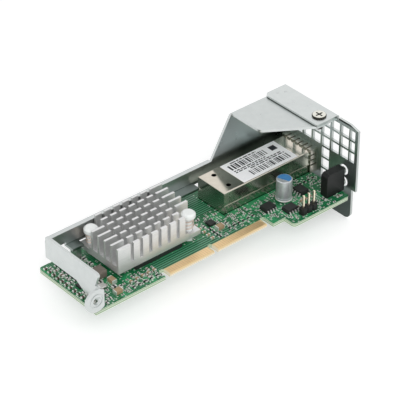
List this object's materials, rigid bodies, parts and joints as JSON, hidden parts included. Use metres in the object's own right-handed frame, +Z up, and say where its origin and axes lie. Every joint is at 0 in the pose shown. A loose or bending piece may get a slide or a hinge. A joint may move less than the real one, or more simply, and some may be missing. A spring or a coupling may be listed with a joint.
{
  "type": "network adapter card",
  "caption": "Low-profile network adapter card with an edge-contact board, a pin-fin heat sink, a module cage, a folded steel side bracket and a vented I/O plate.",
  "frame": {"origin": "middle of the key notch on the contact edge line, on the board top face", "axes": "+X along the card towards the I/O plate, +Y from the contact edge to the back, +Z up from the component side"},
  "size_m": [0.1231, 0.0401, 0.0422],
  "materials": {
    "board_laminate": "green solder resist over glass-fibre laminate",
    "contact_gold": "hard gold plating",
    "mould_black": "moulded black resin",
    "pad_grey": "soft thermal pad",
    "sink_aluminium": "bare extruded and cross-cut aluminium",
    "nylon_white": "moulded white nylon",
    "spring_brass": "plain spring wire",
    "zinc_steel": "zinc-plated sheet steel",
    "cage_nickel": "nickel-plated copper alloy sheet",
    "label_paper": "blank white paper label",
    "can_aluminium": "drawn aluminium can",
    "rubber_black": "rubber bung",
    "tin_lead": "tinned leads",
    "lamp_clear": "milky clear lamp resin",
    "choke_grey": "grey ferrite composite",
    "ceramic_tan": "fired ceramic"
  },
  "bodies": {
    "root": {"circuit_board": "board_laminate", "edge_contacts": "contact_gold", "controller_package": "mould_black", "thermal_pad": "pad_grey", "heat_sink": "sink_aluminium", "push_pins": "nylon_white", "push_pin_springs": "spring_brass", "side_bracket": "zinc_steel", "bracket_spacers": "zinc_steel", "spacer_screws": "zinc_steel", "io_plate": "zinc_steel", "hood_screw": "zinc_steel", "cage_tray": "cage_nickel", "cage_cover": "cage_nickel", "cage_collar": "cage_nickel", "host_connector": "mould_black", "cage_label": "label_paper", "capacitor_bung": "rubber_black", "capacitor_can": "can_aluminium", "capacitor_leads": "tin_lead", "header_base": "mould_black", "header_pins": "contact_gold", "lamp_block": "mould_black", "indicator_lamps": "lamp_clear", "lamp_leads": "tin_lead", "chip_bodies": "mould_black", "chip_leads": "tin_lead", "power_choke": "choke_grey", "crystal_can": "tin_lead", "flat_chips": "mould_black", "ceramic_capacitors": "ceramic_tan", "chip_resistors": "mould_black", "chip_end_caps": "tin_lead"}
  },
  "joints": []
}
